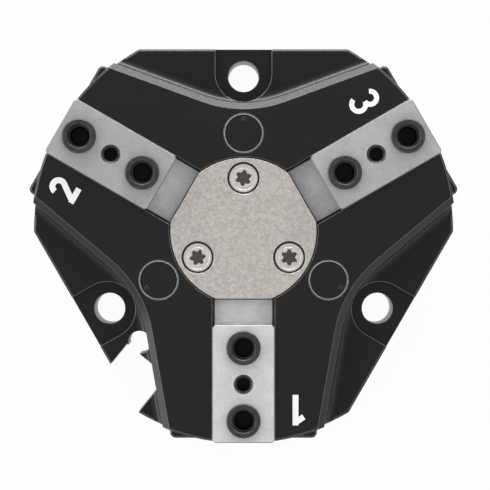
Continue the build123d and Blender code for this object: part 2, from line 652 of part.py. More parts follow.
def make_sleeves(direction):
    """Two locating sleeves pressed into the top of a jaw."""
    with BuildPart() as sleeves:
        for outer, amount in ((SLEEVE_R, -SLEEVE_DEPTH), (SLEEVE_R - PRESS_GAP, SLEEVE_PROUD)):
            with BuildSketch(top_view(direction, BLOCK_TOP)):
                for place in SLEEVE_PLACES:
                    with Locations((place, 0)):
                        draw_ring(outer, SLEEVE_BORE_R)
            extrude(amount=amount)
        chamfer(sleeves.edges().group_by(Axis.Z)[-1], SLEEVE_EDGE)
    return sleeves


pieces = {
    "housing": housing,
    "guide_blocks": guide_blocks,
    "base_cover": base_cover,
    "base_cover_seal": base_cover_seal,
    "base_cover_screws": base_cover_screws,
    "tie_screws": tie_screws,
    "tie_screw_caps": tie_screw_caps,
    "front_plate": front_plate,
    "front_plate_screws": front_plate_screws,
    "rod_seal": rod_seal,
    "upper_bumper": upper_bumper,
    "lower_bumper": lower_bumper,
    "piston": piston,
    "piston_seal": piston_seal,
    "piston_magnet": piston_magnet,
    "wedge_hook": wedge_hook,
    "hook_screw": hook_screw,
    "hook_pin": hook_pin,
}
for number, direction in JAW_DIRECTIONS.items():
    pieces[f"jaw_{number}"] = make_jaw(direction)
    pieces[f"jaw_{number}_sleeves"] = make_sleeves(direction)

os.makedirs("parts", exist_ok=True)
for name, piece in pieces.items():
    piece.part.label = name
    export_step(piece.part, f"parts/{name}.step")
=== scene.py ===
"""Studio dressing of a three jaw centric gripper, seen from straight above its jaws.

The file is laid out as an add-on: a property group with the sizes and colours, one operator for
each group of pieces and one for the stage, and a panel that lists them. It is run as a script.
Lengths are metres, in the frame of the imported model: +Z runs from the back face to the jaws.
"""
from math import atan2, cos, pi, radians, sin, tau

import bmesh
import bpy
from bpy.props import FloatProperty, FloatVectorProperty, IntProperty, PointerProperty
from mathutils import Matrix, Vector


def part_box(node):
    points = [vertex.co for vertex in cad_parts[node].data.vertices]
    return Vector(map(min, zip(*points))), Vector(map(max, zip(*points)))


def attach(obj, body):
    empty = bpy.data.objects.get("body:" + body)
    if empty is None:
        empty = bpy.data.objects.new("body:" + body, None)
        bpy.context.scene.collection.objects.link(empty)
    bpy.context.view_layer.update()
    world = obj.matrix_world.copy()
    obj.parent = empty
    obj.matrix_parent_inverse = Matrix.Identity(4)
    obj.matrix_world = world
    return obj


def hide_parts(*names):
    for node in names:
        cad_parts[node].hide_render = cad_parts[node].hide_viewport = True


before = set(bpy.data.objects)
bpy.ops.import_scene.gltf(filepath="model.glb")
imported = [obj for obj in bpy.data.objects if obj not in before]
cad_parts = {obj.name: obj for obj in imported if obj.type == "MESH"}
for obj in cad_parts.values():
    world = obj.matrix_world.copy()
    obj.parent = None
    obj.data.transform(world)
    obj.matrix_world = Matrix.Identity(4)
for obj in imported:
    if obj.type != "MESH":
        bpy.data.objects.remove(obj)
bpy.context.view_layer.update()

bl_info = {
    "name": "Three jaw centric gripper",
    "version": (1, 0, 0),
    "blender": (4, 5, 0),
    "location": "3D View > Sidebar > Gripper",
    "description": "Finishes, fasteners and stage of a three jaw centric gripper",
    "category": "Object",
}

MM = 0.001
JAW_DIRECTIONS = {1: 270.0, 2: 150.0, 3: 30.0}
CORNER_DIRECTIONS = (90.0, 210.0, 330.0)
SLEEVE_PLACES = (41.0 * MM, 66.5 * MM)
TOP_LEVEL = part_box("tie_screw_caps")[1].z
BLOCK_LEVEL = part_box("jaw_1")[1].z
PLATE_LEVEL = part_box("front_plate")[1].z
CAP_PLACE = 34.4 * MM
PLATE_SCREW_PLACE = 18.55 * MM
BLOCK_IN = 33.0 * MM
BLOCK_OUT = 74.2 * MM
HOLE_BAND = 6.2 * MM
M6_PLACE = 53.7 * MM
M8_CORE = 3.4 * MM
M8_PITCH = 1.25 * MM
M6_CORE = 2.5 * MM
M6_PITCH = 1.0 * MM
PORT_ANGLE = 330.0
PORT_CORE = 4.3 * MM
PORT_PITCH = 0.907 * MM
PORT_FLOOR = 56.4 * MM
PORTS = ((-15.0 * MM, 17.6 * MM), (15.0 * MM, 35.0 * MM))


# Settings

class FinishSettings(bpy.types.PropertyGroup):
    """Colours and sizes that a user of the model would change."""

    housing_colour: FloatVectorProperty(
        name="Housing", description="Hard anodised housing", subtype="COLOR", default=(0.0034, 0.0034, 0.0036))
    # Painted highlight: this colour lightens the sharp edges of the anodised parts, where light catches them.
    edge_highlight_colour: FloatVectorProperty(
        name="Edges", description="Anodised edges where the light metal shows", subtype="COLOR",
        default=(0.30, 0.31, 0.32))
    jaw_colour: FloatVectorProperty(
        name="Jaws", description="Ground steel of the base jaws", subtype="COLOR", default=(0.56, 0.56, 0.57))
    step_colour: FloatVectorProperty(
        name="Jaw noses", description="Milled steel beside the front plate", subtype="COLOR",
        default=(0.66, 0.665, 0.67))
    plate_colour: FloatVectorProperty(
        name="Front plate", description="Brushed front plate", subtype="COLOR", default=(0.49, 0.463, 0.433))
    sleeve_colour: FloatVectorProperty(
        name="Sleeves", description="Black oxide of the locating sleeves", subtype="COLOR",
        default=(0.036, 0.036, 0.036))
    screw_colour: FloatVectorProperty(
        name="Plate screws", description="Bright zinc of the plate screws", subtype="COLOR",
        default=(0.60, 0.585, 0.56))
    mark_colour: FloatVectorProperty(
        name="Jaw numbers", description="Paint of the jaw numbers", subtype="COLOR", default=(0.98, 0.98, 0.97))
    rubber_colour: FloatVectorProperty(
        name="Seals", description="Nitrile seals", subtype="COLOR", default=(0.02, 0.02, 0.02))
    number_height: FloatProperty(
        name="Number height", description="Cap height of the jaw numbers", unit="LENGTH", default=10.7 * MM)
    number_stroke: FloatProperty(
        name="Number stroke", description="Width of the numbers' strokes", unit="LENGTH", default=2.05 * MM)
    number_place: FloatProperty(
        name="Number distance", description="Distance of the numbers from the axis", unit="LENGTH",
        default=65.2 * MM)
    number_turn: FloatProperty(
        name="Number offset", description="Angle from a jaw to its number", unit="ROTATION",
        default=radians(17.0))
    thread_turns: IntProperty(
        name="Thread turns", description="Turns of thread shown in each hole of a jaw", default=8, min=1)


def settings():
    return bpy.context.scene.gripper_finish


# Node helpers

def new_material(name):
    """Empty node material with a principled shader; gives the material, its nodes, links and shader."""
    material = bpy.data.materials.new(name)
    material.use_nodes = True
    nodes, links = material.node_tree.nodes, material.node_tree.links
    shader = nodes["Principled BSDF"]
    return material, nodes, links, shader


def grain(nodes, links, scale, stretch=(1, 1, 1), turn=0.0, detail=4.0, distort=0.0, seed=0.0):
    """Noise on object coordinates, stretched and turned about Z; gives its factor socket."""
    place = nodes.new("ShaderNodeTexCoord")
    mapping = nodes.new("ShaderNodeMapping")
    mapping.vector_type = "TEXTURE"
    mapping.inputs["Rotation"].default_value = (0, 0, turn)
    mapping.inputs["Scale"].default_value = stretch
    mapping.inputs["Location"].default_value = (seed * MM, 0, 0)
    noise = nodes.new("ShaderNodeTexNoise")
    noise.inputs["Scale"].default_value = scale
    noise.inputs["Detail"].default_value = detail
    noise.inputs["Roughness"].default_value = 0.6
    noise.inputs["Distortion"].default_value = distort
    links.new(place.outputs["Object"], mapping.inputs["Vector"])
    links.new(mapping.outputs["Vector"], noise.inputs["Vector"])
    return noise.outputs["Fac"]


def ramp(nodes, links, factor, low, high, start=0.3, end=0.7):
    """Two-colour ramp driven by a factor; gives its colour socket."""
    blend = nodes.new("ShaderNodeValToRGB")
    blend.color_ramp.elements[0].position = start
    blend.color_ramp.elements[1].position = end
    blend.color_ramp.elements[0].color = (*low, 1)
    blend.color_ramp.elements[1].color = (*high, 1)
    links.new(factor, blend.inputs["Fac"])
    return blend.outputs["Color"]


def spread(nodes, links, factor, low, high):
    """Factor mapped to a range; gives the value socket."""
    reach = nodes.new("ShaderNodeMapRange")
    reach.inputs["From Min"].default_value = 0.3
    reach.inputs["From Max"].default_value = 0.7
    reach.inputs["To Min"].default_value = low
    reach.inputs["To Max"].default_value = high
    links.new(factor, reach.inputs["Value"])
    return reach.outputs["Result"]


def relief(nodes, links, shader, factor, distance, base=None):
    """Bump from a factor, in metres, on top of a base normal."""
    bump = nodes.new("ShaderNodeBump")
    bump.inputs["Distance"].default_value = distance
    links.new(factor, bump.inputs["Height"])
    if base is not None:
        links.new(base, bump.inputs["Normal"])
    links.new(bump.outputs["Normal"], shader.inputs["Normal"])


def shade(colour, share):
    """Colour times a share, clipped to 1."""
    return tuple(min(1.0, part * share) for part in colour)


# Materials

def rounded_edges(nodes, links, shader, radius):
    """Softens sharp edges by a small radius; gives the normal socket of the rounding."""
    rounding = nodes.new("ShaderNodeBevel")
    rounding.samples = 6
    rounding.inputs["Radius"].default_value = radius
    links.new(rounding.outputs["Normal"], shader.inputs["Normal"])
    return rounding.outputs["Normal"]


def edge_mask(nodes, links, round_normal):
    """Factor that rises to 1 on sharp edges, where the rounded normal leaves the face's own."""
    place = nodes.new("ShaderNodeNewGeometry")
    product = nodes.new("ShaderNodeVectorMath")
    product.operation = "DOT_PRODUCT"
    links.new(round_normal, product.inputs[0])
    links.new(place.outputs["Normal"], product.inputs[1])
    away = calc(nodes, links, "SUBTRACT", 1.0, product.outputs["Value"])
    return calc(nodes, links, "MINIMUM", calc(nodes, links, "MULTIPLY", away, 10.0), 1.0)


def anodised_material(name="black_anodised_satin", edge=0.3):
    """Black hard anodised aluminium: very dark, with a fine blasted grain, faint cloudiness and a painted highlight on
    its sharp edges.
    """
    material, nodes, links, shader = new_material(name)
    colour = settings().housing_colour
    fine = grain(nodes, links, 2600.0, detail=2.0)
    clouds = grain(nodes, links, 38.0, detail=3.0, seed=5.0)
    black = ramp(nodes, links, clouds, shade(colour, 0.86), shade(colour, 1.14))
    links.new(spread(nodes, links, fine, 0.30, 0.38), shader.inputs["Roughness"])
    shader.inputs["IOR"].default_value = 1.42
    round_normal = rounded_edges(nodes, links, shader, edge * MM)
    # Painted highlight: sharp edges blend from the black towards the edge highlight colour.
    edge_highlight = edge_mask(nodes, links, round_normal)
    links.new(blend_colour(nodes, links, edge_highlight, black, tuple(settings().edge_highlight_colour)), shader.inputs["Base Color"])
    relief(nodes, links, shader, fine, 0.004 * MM, base=round_normal)
    return material


def local_place(nodes, links, direction):
    """Position along a direction, across it and up, as three sockets in metres."""
    place = nodes.new("ShaderNodeTexCoord")
    turned = nodes.new("ShaderNodeMapping")
    turned.inputs["Rotation"].default_value = (0, 0, -radians(direction))
    parts = nodes.new("ShaderNodeSeparateXYZ")
    links.new(place.outputs["Object"], turned.inputs["Vector"])
    links.new(turned.outputs["Vector"], parts.inputs["Vector"])
    return parts.outputs["X"], parts.outputs["Y"], parts.outputs["Z"]


def calc(nodes, links, operation, first, second=None, third=None):
    """One math node; its inputs are sockets or plain numbers."""
    node = nodes.new("ShaderNodeMath")
    node.operation = operation
    for slot, value in enumerate((first, second, third)):
        if value is None:
            continue
        if isinstance(value, (int, float)):
            node.inputs[slot].default_value = value
        else:
            links.new(value, node.inputs[slot])
    return node.outputs[0]


def blend_colour(nodes, links, factor, low, high):
    """Mixes two colours, given as sockets or as plain colours."""
    node = nodes.new("ShaderNodeMix")
    node.data_type = "RGBA"
    links.new(factor, node.inputs["Factor"])
    for socket, value in zip([s for s in node.inputs if s.type == "RGBA"], (low, high)):
        if isinstance(value, tuple):
            socket.default_value = (*value, 1)
        else:
            links.new(value, socket)
    return next(s for s in node.outputs if s.type == "RGBA")


def ground_material(name, colour, turn, stretch, roughness=0.36, bump=0.004, contrast=0.10, metallic=0.3):
    """Ground or milled steel with scratches along one direction; faces below the front plate's top are painted near
    black as shade.
    """
    material, nodes, links, shader = new_material(name)
    factor = ground_grain(nodes, links, turn, stretch, 700.0)
    low, high = shade(colour, 1 - contrast), shade(colour, 1 + contrast)
    face = ramp(nodes, links, factor, low, high, 0.42, 0.58)
    level = nodes.new("ShaderNodeTexCoord")
    parts = nodes.new("ShaderNodeSeparateXYZ")
    links.new(level.outputs["Object"], parts.inputs["Vector"])
    # Painted shade: faces below the plate's top, such as the countersinks, are near black.
    sunk = calc(nodes, links, "LESS_THAN", parts.outputs["Z"], PLATE_LEVEL - 0.1 * MM)
    links.new(blend_colour(nodes, links, sunk, face, (0.02, 0.02, 0.02)), shader.inputs["Base Color"])
    links.new(spread(nodes, links, factor, roughness - 0.05, roughness + 0.06), shader.inputs["Roughness"])
    shader.inputs["Metallic"].default_value = metallic
    round_normal = rounded_edges(nodes, links, shader, 0.2 * MM)
    relief(nodes, links, shader, factor, bump * MM, base=round_normal)
    return material


def ground_grain(nodes, links, turn, stretch, mottle_scale=210.0):
    """Fine scratches along one direction over an even mottle; gives its factor."""
    lines = grain(nodes, links, 1100.0, stretch=stretch, turn=turn, detail=6.0)
    mottle = grain(nodes, links, mottle_scale, detail=5.0, seed=9.0)
    return calc(nodes, links, "ADD", calc(nodes, links, "MULTIPLY", lines, 0.6),
                calc(nodes, links, "MULTIPLY", mottle, 0.4))


NUMBER_SHIFT = {1: 0.5 * MM, 2: -0.6 * MM, 3: -3.1 * MM}
STROKE_SHARE = {1: 1.0, 2: 1.0, 3: 0.84}
# Painted light and shade: the three jaws are one steel, and these shares make each jaw's block and nose lighter or
# darker as the light falls on it.
BLOCK_LIGHT_SHARE = {1: 1.12, 2: 0.69, 3: 0.76}
NOSE_LIGHT_SHARE = {1: 1.15, 2: 0.98, 3: 0.86}


def jaw_material(number, direction):
    """Ground block and cross-milled nose beside the plate, with painted light and shade: a light share for each jaw,
    darker sloping faces, and holes painted darker as they go down.
    """
    look = settings()
    material, nodes, links, shader = new_material(f"ground_jaw_{number}")
    along, across, up = local_place(nodes, links, direction)
    turn = radians(direction)
    ground = ground_grain(nodes, links, turn, (1.0, 0.45, 1.0))
    milled = ground_grain(nodes, links, turn, (0.10, 1.6, 1.0))
    steel = shade(look.jaw_colour, BLOCK_LIGHT_SHARE[number])
    block = ramp(nodes, links, ground, shade(steel, 0.90), shade(steel, 1.10), 0.40, 0.60)
    # Painted shade: faces that slope, such as the chamfers, get a much darker steel.
    facing = nodes.new("ShaderNodeNewGeometry")
    normal = nodes.new("ShaderNodeSeparateXYZ")
    links.new(facing.outputs["Normal"], normal.inputs["Vector"])
    shaded_slope = calc(nodes, links, "COMPARE", normal.outputs["Z"], 0.6, 0.35)
    block = blend_colour(nodes, links, shaded_slope, block, shade(steel, 0.35))
    tone = shade(look.step_colour, NOSE_LIGHT_SHARE[number])
    nose = ramp(nodes, links, milled, shade(tone, 0.80), shade(tone, 1.22), 0.36, 0.64)
    low = calc(nodes, links, "LESS_THAN", up, BLOCK_LEVEL - 2 * MM)
    inner = calc(nodes, links, "LESS_THAN", along, BLOCK_IN + 0.05 * MM)
    on_nose = calc(nodes, links, "MULTIPLY", low, inner)
    # Painted shade in the holes: dark grey just under the top, near black deeper down, and a dark grey ring at the
    # floor under the sleeves.
    beside = calc(nodes, links, "LESS_THAN", calc(nodes, links, "ABSOLUTE", across), HOLE_BAND)
    past = calc(nodes, links, "GREATER_THAN", along, BLOCK_IN + 1 * MM)
    before = calc(nodes, links, "LESS_THAN", along, BLOCK_OUT - 0.5 * MM)
    below = calc(nodes, links, "LESS_THAN", up, BLOCK_LEVEL - 0.05 * MM)
    in_hole = calc(nodes, links, "MULTIPLY", calc(nodes, links, "MULTIPLY", beside, past),
                   calc(nodes, links, "MULTIPLY", before, below))
    deep_shade = calc(nodes, links, "LESS_THAN", up, BLOCK_LEVEL - 0.9 * MM)
    seat_shade = calc(nodes, links, "COMPARE", up, BLOCK_LEVEL - 5.5 * MM, 0.05 * MM)
    hole = blend_colour(nodes, links, deep_shade, (0.05, 0.05, 0.05), (0.004, 0.004, 0.004))
    hole = blend_colour(nodes, links, seat_shade, hole, (0.10, 0.10, 0.10))
    colour = blend_colour(nodes, links, on_nose, block, nose)
    links.new(blend_colour(nodes, links, in_hole, colour, hole), shader.inputs["Base Color"])
    links.new(spread(nodes, links, ground, 0.34, 0.46), shader.inputs["Roughness"])
    shader.inputs["Metallic"].default_value = 0.15
    relief(nodes, links, shader, ground, 0.003 * MM)
    return material


def plain_steel_material(name, colour, roughness=0.35, metallic=1.0, grain_scale=1200.0, bump=0.002):
    """Turned or plated steel with a light even grain."""
    material, nodes, links, shader = new_material(name)
    fine = grain(nodes, links, grain_scale, detail=3.0)
    links.new(ramp(nodes, links, fine, shade(colour, 0.9), shade(colour, 1.1)), shader.inputs["Base Color"])
    links.new(spread(nodes, links, fine, roughness - 0.04, roughness + 0.06), shader.inputs["Roughness"])
    shader.inputs["Metallic"].default_value = metallic
    relief(nodes, links, shader, fine, bump * MM)
    return material


def turned_material(name, colour):
    """Black oxide on a face-turned ring: dull, slightly streaked and speckled."""
    material, nodes, links, shader = new_material(name)
    speckle = grain(nodes, links, 1100.0, detail=5.0)
    streaks = grain(nodes, links, 300.0, stretch=(1.0, 0.3, 1.0), turn=0.6, detail=4.0, seed=3.0)
    factor = calc(nodes, links, "MULTIPLY", calc(nodes, links, "ADD", speckle, streaks), 0.5)
    links.new(ramp(nodes, links, factor, shade(colour, 0.62), shade(colour, 1.35), 0.4, 0.6),
              shader.inputs["Base Color"])
    links.new(spread(nodes, links, factor, 0.32, 0.46), shader.inputs["Roughness"])
    shader.inputs["IOR"].default_value = 1.35
    relief(nodes, links, shader, factor, 0.006 * MM)
    return material


def rubber_material(name, colour):
    """Moulded rubber, dull and slightly uneven."""
    material, nodes, links, shader = new_material(name)
    skin = grain(nodes, links, 800.0, detail=3.0)
    links.new(ramp(nodes, links, skin, shade(colour, 0.8), shade(colour, 1.2)), shader.inputs["Base Color"])
    links.new(spread(nodes, links, skin, 0.6, 0.75), shader.inputs["Roughness"])
    relief(nodes, links, shader, skin, 0.01 * MM)
    return material


def paint_material(name, colour):
    """Screen-printed paint with a slightly mottled coat."""
    material, nodes, links, shader = new_material(name)
    coat = grain(nodes, links, 700.0, detail=4.0)
    links.new(ramp(nodes, links, coat, shade(colour, 0.96), shade(colour, 1.02)), shader.inputs["Base Color"])
    links.new(spread(nodes, links, coat, 0.5, 0.62), shader.inputs["Roughness"])
    relief(nodes, links, shader, coat, 0.004 * MM)
    return material


# Mesh helpers

def give(node, material):
    """Puts one material on a CAD node."""
    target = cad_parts[node]
    target.data.materials.clear()
    target.data.materials.append(material)


def finish_mesh(work, name, material, body, replaced=(), smooth=35.0):
    """Turns a bmesh into a named piece that rides on a body."""
    bmesh.ops.remove_doubles(work, verts=work.verts, dist=1e-7)
    bmesh.ops.recalc_face_normals(work, faces=work.faces)
    mesh = bpy.data.meshes.new(name)
    work.to_mesh(mesh)
    work.free()
    piece = bpy.data.objects.new(name, mesh)
    bpy.context.scene.collection.objects.link(piece)
    mesh.materials.append(material)
    mesh.polygons.foreach_set("use_smooth", [True] * len(mesh.polygons))
    mesh.set_sharp_from_angle(angle=radians(smooth))
    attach(piece, body)
    if replaced:
        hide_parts(*replaced)
    return piece


def paint_faces(piece, material, chosen):
    """Gives a second material to the faces that a test chooses."""
    piece.data.materials.append(material)
    for face in piece.data.polygons:
        if chosen(face):
            face.material_index = 1


def turn_profile(work, points, centre, steps=64):
    """Spins a closed or axis-bound profile of radius and height pairs about an upright axis."""
    verts = [work.verts.new((centre[0] + radius, centre[1], height)) for radius, height in points]
    edges = [work.edges.new(pair) for pair in zip(verts, verts[1:])]
    if points[0][0] > 0:
        edges.append(work.edges.new((verts[-1], verts[0])))
    bmesh.ops.spin(work, geom=verts + edges, cent=(*centre[:2], 0), axis=(0, 0, 1), angle=tau,
                   steps=steps, use_merge=True, use_duplicate=False)


def at_direction(place, degrees, level=0.0):
    """Point at a distance from the axis, in a direction about Z."""
    angle = radians(degrees)
    return Vector((place * cos(angle), place * sin(angle), level))


# Operators

class GRIPPER_OT_housing(bpy.types.Operator):
    """Finish the housing and the back cover"""

    bl_idname = "gripper.housing"
    bl_label = "Housing and back cover"

    def execute(self, context):
        black = anodised_material()
        give("housing", black)
        give("guide_blocks", black)
        give("base_cover", anodised_material("black_anodised_back"))
        return {"FINISHED"}


class GRIPPER_OT_jaws(bpy.types.Operator):
    """Finish the base jaws: fine grain on top, cross-milled noses beside the plate"""

    bl_idname = "gripper.jaws"
    bl_label = "Base jaws"

    def execute(self, context):
        for number, direction in JAW_DIRECTIONS.items():
            give(f"jaw_{number}", jaw_material(number, direction))
        return {"FINISHED"}


def add_coil(work, place, wall, depth, pitch, turns):
    """Helical ridge of a thread: a triangle swept up about a placed Z axis, from the hole's wall inwards."""
    before = set(work.verts)
    profile = [(wall - 0.02 * MM, 0.0), (wall - depth, pitch * 0.5), (wall - 0.02 * MM, pitch * 0.96)]
    verts = [work.verts.new((radius, 0, height)) for radius, height in profile]
    face = work.faces.new(verts)
    bmesh.ops.spin(work, geom=[face, *face.edges, *face.verts], cent=(0, 0, 0), axis=(0, 0, 1), angle=tau * turns,
                   steps=28 * turns, dvec=(0, 0, pitch / 28), use_merge=False, use_duplicate=False)
    fresh = [vert for vert in work.verts if vert not in before]
    bmesh.ops.transform(work, matrix=place, verts=fresh)


def upright_at(spot):
    """Placement of an upright piece."""
    return Matrix.Translation(spot)


class GRIPPER_OT_sleeves(bpy.types.Operator):
    """Model the locating sleeves and the threads below and between them"""

    bl_idname = "gripper.sleeves"
    bl_label = "Sleeves and threads"

    def execute(self, context):
        look = settings()
        oxide = turned_material("black_oxide_sleeve", look.sleeve_colour)
        # Painted shade: the threads in the jaws' holes are the jaws' steel, coloured near black for the shade in the
        # holes.
        dark = plain_steel_material("thread_painted_shade", (0.05, 0.05, 0.052), roughness=0.4, metallic=0.6)
        for number, direction in JAW_DIRECTIONS.items():
            low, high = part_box(f"jaw_{number}_sleeves")
            edge, outer, bore = 0.3 * MM, 5.98 * MM, 4.1 * MM
            profile = [(bore, low.z), (outer - edge, low.z), (outer, low.z + edge), (outer, high.z - edge),
                       (outer - edge, high.z), (bore + edge, high.z), (bore, high.z - edge)]
            work = bmesh.new()
            for place in SLEEVE_PLACES:
                turn_profile(work, profile, at_direction(place, direction))
            name = f"jaw_{number}_sleeves"
            finish_mesh(work, f"sleeve_pair_{number}", oxide, f"jaw_{number}", (name,))
            threads = bmesh.new()
            for place in SLEEVE_PLACES:
                floor = low.z - look.thread_turns * M8_PITCH - M8_PITCH
                add_coil(threads, upright_at(at_direction(place, direction, floor)), M8_CORE, 0.3 * MM, M8_PITCH,
                         look.thread_turns)
            floor = BLOCK_LEVEL - 1.2 * MM - look.thread_turns * M6_PITCH - M6_PITCH
            add_coil(threads, upright_at(at_direction(M6_PLACE, direction, floor)), M6_CORE, 0.25 * MM, M6_PITCH,
                     look.thread_turns)
            finish_mesh(threads, f"jaw_threads_{number}", dark, f"jaw_{number}")
        return {"FINISHED"}


class GRIPPER_OT_ports(bpy.types.Operator):
    """Model the threads of the two air ports"""

    bl_idname = "gripper.ports"
    bl_label = "Air port threads"

    def execute(self, context):
        dark = plain_steel_material("port_thread", (0.16, 0.16, 0.165), roughness=0.35)
        work = bmesh.new()
        for side, level in PORTS:
            spot = at_direction(PORT_FLOOR, PORT_ANGLE, level) + at_direction(side, PORT_ANGLE + 90)
            aim = Vector((0, 0, 1)).rotation_difference(at_direction(1.0, PORT_ANGLE)).to_matrix().to_4x4()
            add_coil(work, Matrix.Translation(spot) @ aim, PORT_CORE, 0.3 * MM, PORT_PITCH, 7)
        finish_mesh(work, "port_threads", dark, "housing")
        return {"FINISHED"}


class GRIPPER_OT_plate(bpy.types.Operator):
    """Finish the front plate"""

    bl_idname = "gripper.plate"
    bl_label = "Front plate"

    def execute(self, context):
        brushed = ground_material("brushed_plate", settings().plate_colour, radians(-42.0), (1.3, 0.35, 1.0),
                                  roughness=0.36, bump=0.0015, contrast=0.19)
        give("front_plate", brushed)
        return {"FINISHED"}


def join_rings(work, rings):
    """Skins a stack of rings that have the same number of points, and closes both ends."""
    rows = [[work.verts.new(point) for point in ring] for ring in rings]
    for lower, upper in zip(rows, rows[1:]):
        for index in range(len(lower)):
            following = (index + 1) % len(lower)
            work.faces.new((lower[index], lower[following], upper[following], upper[index]))
    work.faces.new(rows[0][::-1])
    work.faces.new(rows[-1])


def round_ring(centre, radius, level, count=72):
    """Circle of points about an upright axis."""
    return [Vector((centre[0] + radius * cos(tau * step / count), centre[1] + radius * sin(tau * step / count), level))
            for step in range(count)]


def star_ring(centre, size, level, turn, count=72):
    """Outline of a six-lobe socket, where size is half its width over the lobes."""
    spots = []
    for step in range(count):
        angle = tau * step / count
        radius = size * (0.855 + 0.150 * cos(6 * angle) - 0.012 * cos(12 * angle))
        heading = angle + turn
        spots.append(Vector((centre[0] + radius * cos(heading), centre[1] + radius * sin(heading), level)))
    return spots


def add_plate_screw(work, centre, top, turn):
    """Countersunk six-lobe screw, skinned from its tip over the head down to the socket's floor."""
    outside = [(2.5, -10.0), (3.0, -9.5), (3.0, -2.75), (4.95, -0.8), (5.0, -0.7), (5.0, -0.15), (4.85, 0.0),
               (4.15, 0.0), (4.05, -0.08), (3.6, -0.08), (3.5, 0.0), (3.3, 0.0)]
    socket = [(2.98, 0.0), (2.8, -0.22), (2.72, -2.0), (1.0, -2.45)]
    rings = [round_ring(centre, radius * MM, top + level * MM) for radius, level in outside]
    rings += [star_ring(centre, size * MM, top + level * MM, turn) for size, level in socket]
    join_rings(work, rings)


def is_socket(face, top):
    """Whether a face of the plate screws lies inside a six-lobe socket."""
    centre = face.center
    nearest = min((centre.xy - at_direction(PLATE_SCREW_PLACE, corner).xy).length for corner in CORNER_DIRECTIONS)
    return nearest < 2.9 * MM and top - 2.5 * MM < centre.z < top - 0.12 * MM


class GRIPPER_OT_fasteners(bpy.types.Operator):
    """Model the plate screws and the caps, and finish the other screws"""

    bl_idname = "gripper.fasteners"
    bl_label = "Screws and caps"

    def execute(self, context):
        look = settings()
        zinc = plain_steel_material("bright_zinc", look.screw_colour, roughness=0.3, metallic=0.35, bump=0.0)
        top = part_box("front_plate_screws")[1].z
        screws = bmesh.new()
        for corner, turn in zip(CORNER_DIRECTIONS, (0.35, 0.15, 0.52)):
            add_plate_screw(screws, at_direction(PLATE_SCREW_PLACE, corner), top, turn)
        heads = finish_mesh(screws, "plate_screws", zinc, "housing", ("front_plate_screws",),
                            smooth=28.0)
        # Painted shade: the socket faces get a darkened copy of the zinc.
        socket = plain_steel_material("socket_painted_shade", shade(look.screw_colour, 0.22), roughness=0.4, metallic=0.3)
        paint_faces(heads, socket, lambda face: is_socket(face, top))
        oxide = plain_steel_material("black_oxide_screw", (0.03, 0.03, 0.031), roughness=0.4, metallic=0.7)
        for node in ("tie_screws", "base_cover_screws", "hook_screw"):
            give(node, oxide)
        cap = anodised_material("black_cap", edge=0.1)
        low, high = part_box("tie_screw_caps")
        profile = [(0.0, low.z), (6.9 * MM, low.z), (6.98 * MM, low.z + 0.1 * MM), (6.98 * MM, high.z - 0.42 * MM),
                   (6.56 * MM, high.z), (0.0, high.z)]
        caps = bmesh.new()
        for corner in CORNER_DIRECTIONS:
            turn_profile(caps, profile, at_direction(CAP_PLACE, corner), steps=96)
        plugs = finish_mesh(caps, "screw_caps", cap, "housing", ("tie_screw_caps",))
        # Painted highlight: the caps' top chamfer gets a light grey.
        rim_highlight = plain_steel_material("cap_rim_highlight", (0.50, 0.50, 0.52), roughness=0.35, metallic=0.0)
        paint_faces(plugs, rim_highlight, lambda face: face.center.z > high.z - 0.4 * MM and 0.2 < face.normal.z < 0.95)
        # Small raised nibs on the caps, coloured light grey against the black caps as a painted highlight.
        nibs = bmesh.new()
        for corner in CORNER_DIRECTIONS:
            for shift in (0.0, 0.9):
                spot = at_direction(CAP_PLACE + (4.6 + shift) * MM, corner, high.z + 0.03 * MM)
                place = Matrix.Translation(spot) @ Matrix.Rotation(radians(corner), 4, "Z")
                size = Matrix.Diagonal((0.22 * MM, (1.7 - 0.5 * shift) * MM, 0.1 * MM, 1))
                bmesh.ops.create_cube(nibs, size=1.0, matrix=place @ size)
        finish_mesh(nibs, "cap_nib_highlights", plain_steel_material("cap_nib_highlight", (0.10, 0.10, 0.10), metallic=0.2), "housing")
        return {"FINISHED"}


class GRIPPER_OT_mechanism(bpy.types.Operator):
    """Finish the piston, the wedge hook and the seals"""

    bl_idname = "gripper.mechanism"
    bl_label = "Piston and wedge hook"

    def execute(self, context):
        rubber = rubber_material("nitrile_seal", settings().rubber_colour)
        for node in ("base_cover_seal", "rod_seal", "piston_seal", "upper_bumper", "lower_bumper"):
            give(node, rubber)
        give("piston", plain_steel_material("turned_aluminium", (0.62, 0.63, 0.64), roughness=0.32))
        hard = plain_steel_material("hardened_steel", (0.36, 0.36, 0.37), roughness=0.3)
        give("wedge_hook", hard)
        give("hook_pin", hard)
        give("piston_magnet", plain_steel_material("bonded_magnet", (0.08, 0.08, 0.085), roughness=0.5))
        return {"FINISHED"}


def arc_points(centre, radius, start, end, count):
    """Points of an arc, angles in degrees."""
    spots = []
    for step in range(count + 1):
        angle = radians(start + (end - start) * step / count)
        spots.append((centre[0] + radius * cos(angle), centre[1] + radius * sin(angle)))
    return spots


def figure_strokes(number):
    """Centre lines of the figures 1, 2 and 3 on a body one unit high."""
    if number == 1:
        return [[(0.09, 0.5), (0.09, -0.5)], [(0.09, 0.40), (-0.18, 0.22)]]
    if number == 2:
        bowl = arc_points((0.0, 0.205), 0.205, 172, -28, 24)
        return [bowl + [(-0.155, -0.36)], [(-0.27, -0.41), (0.27, -0.41)]]
    upper = arc_points((-0.01, 0.225), 0.215, 160, -84, 22)
    lower = arc_points((-0.01, -0.205), 0.23, 84, -160, 24)
    return [upper, lower]


